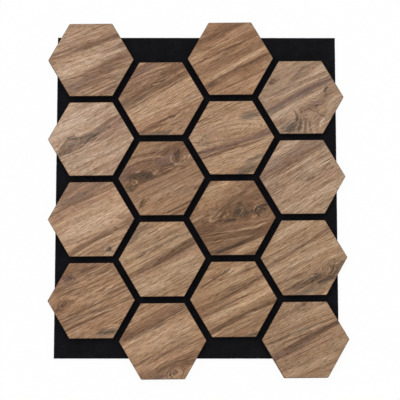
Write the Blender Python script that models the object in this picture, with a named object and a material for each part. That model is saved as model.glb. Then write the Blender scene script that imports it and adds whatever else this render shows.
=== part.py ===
# Hexagon acoustic wall panel: sixteen board tiles laid in a honeycomb on a sheet of felt.
# Metres, +Z up. The panel lies on its back: the felt's back face is at Z = 0, the tile faces look up,
# +Y runs up the wall and the origin is the middle of the felt's back face.

import math

import bmesh
import bpy
from mathutils import Matrix, Vector

# The honeycomb
COLUMNS = 4
ROWS = 4
TILE_ACROSS_FLATS = 0.138    # flat to opposite flat, so a side is about 80 mm
TILE_GAP = 0.012             # felt channel between the sides of two neighbours
TILE_THICKNESS = 0.012       # board with its decor face

# The edges of a tile
TILE_CORNER_EASE = 0.0012    # rounding of the six upright corners
TILE_ARRIS = 0.0005          # broken edge round the face, where the dark core shows
CORNER_SEGMENTS = 3
ARRIS_SEGMENTS = 1

# The felt
FELT_THICKNESS = 0.009
FELT_EDGE_SOFTNESS = 0.0008  # the cut edge of the felt is never quite sharp
FELT_EDGE_SEGMENTS = 2
GLUE_LINE = 0.0003           # film of glue between felt and tile

# How the tiles lie on the felt
FIELD_SHIFT_X = 0.001        # middle of the honeycomb, from the middle of the felt
FIELD_SHIFT_Y = -0.006
FIELD_TURN = math.radians(0.6)

# Angles
HALF_SIDE_ANGLE = math.radians(30)    # half of what a hexagon's side spans, seen from its middle
CORNER_TURN = math.radians(90)        # turns the first corner of a drawn circle onto +X
SHARP_ANGLE = math.radians(30)        # faces that meet at more than this keep a crisp edge

# Worked out from the sizes above
ROW_STEP = TILE_ACROSS_FLATS + TILE_GAP
COLUMN_STEP = ROW_STEP * math.cos(HALF_SIDE_ANGLE)
TILE_CORNER_RADIUS = TILE_ACROSS_FLATS / 2 / math.cos(HALF_SIDE_ANGLE)
COLUMN_STAGGER = ROW_STEP / 4    # odd columns stand this much high, even ones this much low
FELT_WIDTH = COLUMNS * COLUMN_STEP    # one whole repeat, so panels butt and the honeycomb runs on
FELT_HEIGHT = ROWS * ROW_STEP
TILE_BACK_Z = FELT_THICKNESS + GLUE_LINE

# Materials: linear colour and roughness
FELT_BLACK = ((0.008, 0.0075, 0.009, 1.0), 0.95)
CORE_BLACK = ((0.012, 0.009, 0.008, 1.0), 0.7)
WALNUT = ((0.345, 0.238, 0.162, 1.0), 0.55)


def clear_scene():
    for old in list(bpy.data.objects):
        bpy.data.objects.remove(old, do_unlink=True)


def make_material(name, look):
    colour, roughness = look
    material = bpy.data.materials.new(name)
    material.use_nodes = True
    shader = material.node_tree.nodes["Principled BSDF"]
    shader.inputs["Base Color"].default_value = colour
    shader.inputs["Roughness"].default_value = roughness
    shader.inputs["Metallic"].default_value = 0.0
    material.diffuse_color = colour
    return material


def place(name, mesh, parent=None, location=(0, 0, 0)):
    piece = bpy.data.objects.new(name, mesh)
    bpy.context.collection.objects.link(piece)
    piece.parent = parent
    piece.location = location
    return piece


def finish_mesh(shape, name, materials):
    mesh = bpy.data.meshes.new(name)
    bmesh.ops.recalc_face_normals(shape, faces=shape.faces)
    shape.to_mesh(mesh)
    shape.free()
    for material in materials:
        mesh.materials.append(material)
    mesh.shade_smooth()
    mesh.set_sharp_from_angle(angle=SHARP_ANGLE)
    return mesh


def same_place(distance):
    # a thousandth of a millimetre is no distance
    return abs(distance) < 1e-6


def is_upright(edge):
    start, end = (vert.co for vert in edge.verts)
    return same_place((start.xy - end.xy).length)


def lies_at(edge, height):
    return all(same_place(vert.co.z - height) for vert in edge.verts)


def felt_sheet(felt_black):
    # a cut sheet: outline, thickness, then the softened rims
    shape = bmesh.new()
    bmesh.ops.create_grid(shape, x_segments=1, y_segments=1, size=0.5)
    bmesh.ops.scale(shape, vec=Vector((FELT_WIDTH, FELT_HEIGHT, 1)), verts=shape.verts)
    raised = bmesh.ops.extrude_face_region(shape, geom=list(shape.faces))
    top = [item for item in raised["geom"] if isinstance(item, bmesh.types.BMVert)]
    bmesh.ops.translate(shape, vec=Vector((0, 0, FELT_THICKNESS)), verts=top)
    rims = [edge for edge in shape.edges if not is_upright(edge)]
    bmesh.ops.bevel(shape, geom=rims, offset=FELT_EDGE_SOFTNESS, offset_type="OFFSET",
                    segments=FELT_EDGE_SEGMENTS, profile=0.5, affect="EDGES", material=-1)
    return finish_mesh(shape, "felt_sheet", [felt_black])


def hexagon_tile(core_black, walnut):
    # a hexagon with a corner on +X and flats at the top and bottom, sawn from faced board
    shape = bmesh.new()
    bmesh.ops.create_circle(shape, cap_ends=True, segments=6, radius=TILE_CORNER_RADIUS,
                            matrix=Matrix.Rotation(CORNER_TURN, 4, "Z"))
    raised = bmesh.ops.extrude_face_region(shape, geom=list(shape.faces))
    top = [item for item in raised["geom"] if isinstance(item, bmesh.types.BMVert)]
    bmesh.ops.translate(shape, vec=Vector((0, 0, TILE_THICKNESS)), verts=top)
    corners = [edge for edge in shape.edges if is_upright(edge)]
    bmesh.ops.bevel(shape, geom=corners, offset=TILE_CORNER_EASE, offset_type="OFFSET",
                    segments=CORNER_SEGMENTS, profile=0.5, affect="EDGES", material=-1)
    rim = [edge for edge in shape.edges if lies_at(edge, TILE_THICKNESS)]
    bmesh.ops.bevel(shape, geom=rim, offset=TILE_ARRIS, offset_type="OFFSET",
                    segments=ARRIS_SEGMENTS, profile=0.5, affect="EDGES", material=-1)
    face = max(shape.faces, key=lambda side: side.calc_center_median().z)
    face.material_index = 1
    return finish_mesh(shape, "hexagon_tile", [core_black, walnut])


def tile_spot(column, row):
    # columns count from the left and rows from the top, as the panel hangs
    stagger = COLUMN_STAGGER if column % 2 == 0 else -COLUMN_STAGGER
    across = (column - (COLUMNS - 1) / 2) * COLUMN_STEP
    up = ((ROWS - 1) / 2 - row) * ROW_STEP + stagger
    return Vector((across, up, TILE_BACK_Z))


def build_panel():
    clear_scene()
    felt_black = make_material("felt_black", FELT_BLACK)
    core_black = make_material("core_black", CORE_BLACK)
    walnut = make_material("walnut_decor", WALNUT)

    place("felt_backing", felt_sheet(felt_black))

    field = place("honeycomb_field", None)
    field.location = (FIELD_SHIFT_X, FIELD_SHIFT_Y, 0)
    field.rotation_euler = (0, 0, FIELD_TURN)
    tile = hexagon_tile(core_black, walnut)
    for column in range(COLUMNS):
        for row in range(ROWS):
            name = f"tile_column{column + 1}_row{row + 1}"
            place(name, tile, parent=field, location=tile_spot(column, row))


build_panel()
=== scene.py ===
import math

import bmesh
import bpy
from mathutils import Matrix, Vector, noise


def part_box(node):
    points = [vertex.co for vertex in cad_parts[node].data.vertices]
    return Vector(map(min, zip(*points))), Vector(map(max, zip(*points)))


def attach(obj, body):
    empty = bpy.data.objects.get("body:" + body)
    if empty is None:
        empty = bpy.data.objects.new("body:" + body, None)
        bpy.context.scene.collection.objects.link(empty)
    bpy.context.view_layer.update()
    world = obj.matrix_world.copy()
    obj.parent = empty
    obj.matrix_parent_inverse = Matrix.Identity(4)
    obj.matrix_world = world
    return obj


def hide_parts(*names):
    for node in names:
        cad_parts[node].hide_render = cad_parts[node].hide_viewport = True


# Hexagon acoustic wall panel: walnut-faced board tiles on black felt, seen lying on its back.
# Sizes are in metres, those of the walnut figure in millimetres from the middle of their tile.

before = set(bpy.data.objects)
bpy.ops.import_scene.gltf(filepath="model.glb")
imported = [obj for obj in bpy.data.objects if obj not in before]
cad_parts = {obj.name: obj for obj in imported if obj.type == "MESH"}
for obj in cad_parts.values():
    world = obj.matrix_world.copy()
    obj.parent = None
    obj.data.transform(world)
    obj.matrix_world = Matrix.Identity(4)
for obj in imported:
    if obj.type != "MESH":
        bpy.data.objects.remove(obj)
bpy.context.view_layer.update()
print("frame loaded:", len(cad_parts), "CAD nodes")


# Small helpers for node trees

def paint(red, green, blue):
    # a colour written as 0-255 screen values, turned linear for the shader
    linear = [((part / 255 + 0.055) / 1.055) ** 2.4 if part > 10 else part / 255 / 12.92
              for part in (red, green, blue)]
    return (*linear, 1.0)


def setSocket(tree, socket, value):
    # a link where the value is a socket, otherwise a plain number or colour
    if isinstance(value, bpy.types.NodeSocket):
        tree.links.new(value, socket)
    else:
        socket.default_value = value


def setSockets(tree, node, values):
    for label, value in values.items():
        setSocket(tree, node.inputs[label], value)


def addMath(tree, operation, first, second=None, third=None, clamp=False):
    node = tree.nodes.new("ShaderNodeMath")
    node.operation = operation
    node.use_clamp = clamp
    for index, value in enumerate((first, second, third)):
        if value is not None:
            setSocket(tree, node.inputs[index], value)
    return node.outputs[0]


def addRange(tree, value, fromLow, fromHigh, toLow=0.0, toHigh=1.0, smooth=True):
    node = tree.nodes.new("ShaderNodeMapRange")
    node.interpolation_type = "SMOOTHSTEP" if smooth else "LINEAR"
    setSockets(tree, node, {"Value": value, "From Min": fromLow, "From Max": fromHigh,
                            "To Min": toLow, "To Max": toHigh})
    return node.outputs["Result"]


def addMix(tree, factor, first, second, blend="MIX"):
    node = tree.nodes.new("ShaderNodeMix")
    node.data_type = "RGBA"
    node.blend_type = blend
    setSockets(tree, node, {"Factor": factor, "A": first, "B": second})
    return node.outputs["Result"]


def addSplit(tree, vector):
    node = tree.nodes.new("ShaderNodeSeparateXYZ")
    setSocket(tree, node.inputs[0], vector)
    return node.outputs["X"], node.outputs["Y"], node.outputs["Z"]


def addJoin(tree, along, across, depth):
    node = tree.nodes.new("ShaderNodeCombineXYZ")
    setSockets(tree, node, {"X": along, "Y": across, "Z": depth})
    return node.outputs[0]


def addNoise(tree, vector, scale, detail=2.0, roughness=0.5, distortion=0.0):
    node = tree.nodes.new("ShaderNodeTexNoise")
    setSockets(tree, node, {"Vector": vector, "Scale": scale, "Detail": detail, "Roughness": roughness,
                            "Distortion": distortion})
    return node.outputs["Fac"]


def addMapping(tree, vector, place=(0, 0, 0), turn=(0, 0, 0), size=(1, 1, 1)):
    # a Texture mapping: puts its own middle at place, turned and sized
    node = tree.nodes.new("ShaderNodeMapping")
    node.vector_type = "TEXTURE"
    setSockets(tree, node, {"Vector": vector, "Location": place, "Rotation": turn, "Scale": size})
    return node.outputs[0]


def addBump(tree, height, distance):
    node = tree.nodes.new("ShaderNodeBump")
    setSockets(tree, node, {"Height": height, "Distance": distance})
    return node.outputs["Normal"]


def addGroup(tree, group, values):
    node = tree.nodes.new("ShaderNodeGroup")
    node.node_tree = group
    setSockets(tree, node, values)
    return node


def newGroup(name, inputs, outputs):
    group = bpy.data.node_groups.new(name, "ShaderNodeTree")
    for label, kind in inputs.items():
        group.interface.new_socket(label, in_out="INPUT", socket_type="NodeSocket" + kind)
    for label, kind in outputs.items():
        group.interface.new_socket(label, in_out="OUTPUT", socket_type="NodeSocket" + kind)
    start, end = group.nodes.new("NodeGroupInput"), group.nodes.new("NodeGroupOutput")
    return group, start.outputs, end.inputs


def newMaterial(name):
    material = bpy.data.materials.new(name)
    material.use_nodes = True
    tree = material.node_tree
    coords = tree.nodes.new("ShaderNodeTexCoord").outputs["Object"]
    return material, tree, tree.nodes["Principled BSDF"], coords


# Walnut decor: the grain

grainValues = {
    # streaks of noise: length and width in mm, detail, roughness
    "slowWaver": (85.0, 34.0, 1.0, 0.5),
    "quickWaver": (22.0, 9.0, 1.0, 0.5),
    "bands": (170.0, 13.0, 1.0, 0.55),          # slow, light and dark
    "lines": (120.0, 4.2, 1.5, 0.55),           # growth lines
    "fibres": (38.0, 1.15, 2.0, 0.7),
    "pores": (9.0, 0.8, 1.0, 0.55),
    "ringPlaces": (60.0, 17.0, 0.0, 0.55),      # where evenly spaced lines show, as if cut flat
    "ringSway": (50.0, 11.0, 0.0, 0.55),
    # the part of a streak's level that is spread from 0 to 1
    "bandWindow": (0.3, 0.7),
    "lineWindow": (0.32, 0.68),
    "fibreWindow": (0.3, 0.7),
    "poreWindow": (0.465, 0.69),
    "ringWindow": (0.42, 0.62),
    # how far the grain wanders, mm
    "slowPush": 5.2,
    "quickPush": 1.3,
    "seedStep": 13.7,
    "ringPitch": 3.2,           # mm
    "ringSwing": 7.0,           # how far the sway shifts them, radians
    "ringWeight": 0.65,
    # how strongly each shows in the colour
    "bandDepth": 0.14,
    "lineDepth": 0.17,
    "fibreDepth": 0.95,
    "poreDepth": 0.52,
    "redSwing": 0.86,           # the pale grain is greyer than the dark, so red swings less
    "blueSwing": 1.14,          # and blue more
}


def addStreaks(tree, along, across, depth, kind):
    # noise drawn out along the grain
    length, width, detail, roughness = grainValues[kind]
    spot = addJoin(tree, addMath(tree, "DIVIDE", along, length), addMath(tree, "DIVIDE", across, width),
                   depth)
    return addNoise(tree, spot, 1.0, detail, roughness)


def makeWaverGroup():
    # lets straight grain wander a little, more slowly along than across
    group, take, give = newGroup("walnutWaver", {"Vector": "Vector", "Seed": "Float"}, {"Vector": "Vector"})
    along, across, _ = addSplit(group, take["Vector"])
    shift = addMath(group, "MULTIPLY", take["Seed"], grainValues["seedStep"])
    slow, quick = (addMath(group, "SUBTRACT", addStreaks(group, along, across, shift, kind), 0.5)
                   for kind in ("slowWaver", "quickWaver"))
    push = addMath(group, "MULTIPLY_ADD", slow, grainValues["slowPush"],
                   addMath(group, "MULTIPLY", quick, grainValues["quickPush"]))
    setSocket(group, give["Vector"], addJoin(group, along, addMath(group, "ADD", across, push), shift))
    return group


def makeGrainGroup():
    # bands, growth lines, fibres and pores, each from 0 to 1
    group, take, give = newGroup("walnutGrain", {"Vector": "Vector", "Rings": "Float"},
                                 {"Bands": "Float", "Lines": "Float", "Fibres": "Float", "Pores": "Float"})
    along, across, depth = addSplit(group, take["Vector"])

    def spread(kind, window, smooth):
        level = addStreaks(group, along, across, depth, kind)
        return addRange(group, level, *grainValues[window], smooth=smooth)

    sway = addMath(group, "MULTIPLY", addStreaks(group, along, across, depth, "ringSway"),
                   grainValues["ringSwing"])
    turn = addMath(group, "MULTIPLY_ADD", across, math.tau / grainValues["ringPitch"], sway)
    rings = addMath(group, "MULTIPLY", addMath(group, "SINE", turn), spread("ringPlaces", "ringWindow", True))
    rings = addMath(group, "MULTIPLY", rings, take["Rings"])
    lines = addMath(group, "ADD", spread("lines", "lineWindow", False), rings, clamp=True)
    setSocket(group, give["Bands"], spread("bands", "bandWindow", True))
    setSocket(group, give["Lines"], lines)
    setSocket(group, give["Fibres"], spread("fibres", "fibreWindow", False))
    setSocket(group, give["Pores"], spread("pores", "poreWindow", True))
    return group


# Walnut decor: knots

knotValues = {
    "lumpSize": 1.3,            # of the uneven outline, in radii of the knot
    "lumpDetail": 2.0,
    "lumpShift": 31.7,          # keeps the unevenness across apart from the one along
    "lumpPush": 2.2,            # in radii
    "least": 0.01,              # keeps the division finite, square mm
    "ringSqueeze": 1.6,         # how much closer the lines lie inside
    "core": paint(84, 66, 52),
    "coreFade": (0.05, 0.6),    # depths at which the core starts and is whole
    "coreMottle": (0.2, 0.8, 1.0, 0.4),     # from and to which swirl, and its strength there
}


def makeKnotGroup():
    # grain lines part round a knot as water does round a post, and ring it unevenly inside
    group, take, give = newGroup("walnutKnot", {"Vector": "Vector", "Along": "Float", "Across": "Float",
                                                "Radius": "Float", "Stretch": "Float"},
                                 {"Vector": "Vector", "Depth": "Float"})
    along, across, depth = addSplit(group, take["Vector"])
    size = addMath(group, "MULTIPLY", take["Radius"], knotValues["lumpSize"])
    push = addMath(group, "MULTIPLY", take["Radius"], knotValues["lumpPush"])
    spot = [addMath(group, "DIVIDE", part, size) for part in (along, across)]
    rough = []
    for shift in (0.0, knotValues["lumpShift"]):
        lump = addNoise(group, addJoin(group, *spot, addMath(group, "ADD", depth, shift)), 1.0,
                        knotValues["lumpDetail"])
        rough.append(addMath(group, "MULTIPLY", addMath(group, "SUBTRACT", lump, 0.5), push))
    fromAlong = addMath(group, "ADD", rough[0], addMath(group, "SUBTRACT", along, take["Along"]))
    fromAlong = addMath(group, "DIVIDE", fromAlong, take["Stretch"])
    fromAcross = addMath(group, "ADD", rough[1], addMath(group, "SUBTRACT", across, take["Across"]))
    squared = addMath(group, "MULTIPLY_ADD", fromAlong, fromAlong,
                      addMath(group, "MULTIPLY_ADD", fromAcross, fromAcross, knotValues["least"]))
    share = addMath(group, "DIVIDE", addMath(group, "MULTIPLY", take["Radius"], take["Radius"]), squared,
                    clamp=True)
    parted = addMath(group, "SUBTRACT", across, addMath(group, "MULTIPLY", fromAcross, share))
    inside = addMath(group, "SUBTRACT", take["Radius"], addMath(group, "SQRT", squared))
    inside = addMath(group, "MAXIMUM", inside, 0.0)
    ringed = addMath(group, "MULTIPLY_ADD", inside, knotValues["ringSqueeze"], parted)
    setSocket(group, give["Vector"], addJoin(group, along, ringed, depth))
    setSocket(group, give["Depth"], addMath(group, "DIVIDE", inside, take["Radius"]))
    return group


# Walnut decor: marks, and the mask for the painted shade along the tile's rim

markValues = {
    "core": 0.6,                # share of a mark's half width that has its full strength
    "end": 1.2,                 # half widths at which it has faded out
    "fray": 0.5,                # how far its sides fray with the growth lines
    "thinWidth": 3.6,           # a mark narrower than this, mm, keeps only
    "thinStrength": 0.86,       # this share of its strength
    "patchLength": 1.3,         # one whose half length is under this many widths is a patch
    "patchFray": 1.1,           # which frays with the swirls instead
    "swirlScale": 0.10,
    "swirlDetail": 3.0,
    "swirlTwist": 1.2,
    "swirlWindow": (0.3, 0.7),
    "curlCount": 24.0,
    "curlWindow": (0.1, 0.8),
    "curlPale": 0.4,            # the share of a patch's strength that is left on its curls
}


def makeMarkGroup():
    # one mark: a dark or pale streak, band or patch whose ends and sides fray with the grain
    group, take, give = newGroup("walnutMark", {"Colour": "Color", "Vector": "Vector", "Lines": "Float",
                                                "Place": "Vector", "Turn": "Vector", "Reach": "Vector",
                                                "Bend": "Float", "Fray": "Float", "Core": "Float",
                                                "Shade": "Color", "Strength": "Float"},
                                 {"Colour": "Color"})
    local = addMapping(group, take["Vector"], take["Place"], take["Turn"], take["Reach"])
    along, across, _ = addSplit(group, local)
    alongSquared = addMath(group, "MULTIPLY", along, along)
    bowed = addMath(group, "MULTIPLY_ADD", take["Bend"], alongSquared, across)
    # a bowed mark keeps its width measured square to its own line
    half, halfWidth, _ = addSplit(group, take["Reach"])
    slope = addMath(group, "MULTIPLY", addMath(group, "MULTIPLY", take["Bend"], along),
                    addMath(group, "DIVIDE", addMath(group, "MULTIPLY", halfWidth, 2.0), half))
    steepness = addMath(group, "SQRT", addMath(group, "MULTIPLY_ADD", slope, slope, 1.0))
    bowed = addMath(group, "DIVIDE", bowed, steepness)
    distance = addMath(group, "MULTIPLY_ADD", bowed, bowed,
                       addMath(group, "MULTIPLY", alongSquared, alongSquared))
    frayed = addMath(group, "MULTIPLY_ADD", addMath(group, "SUBTRACT", take["Lines"], 0.5), take["Fray"],
                     addMath(group, "SQRT", distance))
    cover = addRange(group, frayed, take["Core"], markValues["end"], 1.0, 0.0)
    setSocket(group, give["Colour"], addMix(group, addMath(group, "MULTIPLY", cover, take["Strength"]),
                                            take["Colour"], take["Shade"]))
    return group


def makeRimGroup():
    # 0 in the middle of a hexagon and 1 at its sides, over the given width; the mask of the painted shade
    # along a tile's edge
    group, take, give = newGroup("hexagonRim", {"Vector": "Vector", "Half Across": "Float", "Width": "Float"},
                                 {"Rim": "Float"})
    x, y, _ = addSplit(group, take["Vector"])
    reach = addMath(group, "ABSOLUTE", y)
    for turn in (math.radians(30), math.radians(150)):
        side = addMath(group, "MULTIPLY_ADD", x, math.cos(turn),
                       addMath(group, "MULTIPLY", y, math.sin(turn)))
        reach = addMath(group, "MAXIMUM", reach, addMath(group, "ABSOLUTE", side))
    start = addMath(group, "SUBTRACT", take["Half Across"], take["Width"])
    setSocket(group, give["Rim"], addRange(group, reach, start, take["Half Across"]))
    return group


waverGroup = makeWaverGroup()
grainGroup = makeGrainGroup()
knotGroup = makeKnotGroup()
markGroup = makeMarkGroup()
rimGroup = makeRimGroup()
print("walnut node groups ready")


# Walnut decor: the figure of each tile

walnutShades = {
    "pale": paint(203, 173, 146),
    "sand": paint(184, 152, 123),
    "tan": paint(163, 131, 103),
    "rose": paint(168, 132, 107),
    "brown": paint(138, 107, 84),
    "umber": paint(111, 84, 65),
    "olive": paint(124, 105, 87),
    "plum": paint(128, 101, 87),
    "slate": paint(82, 67, 55),
}

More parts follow.
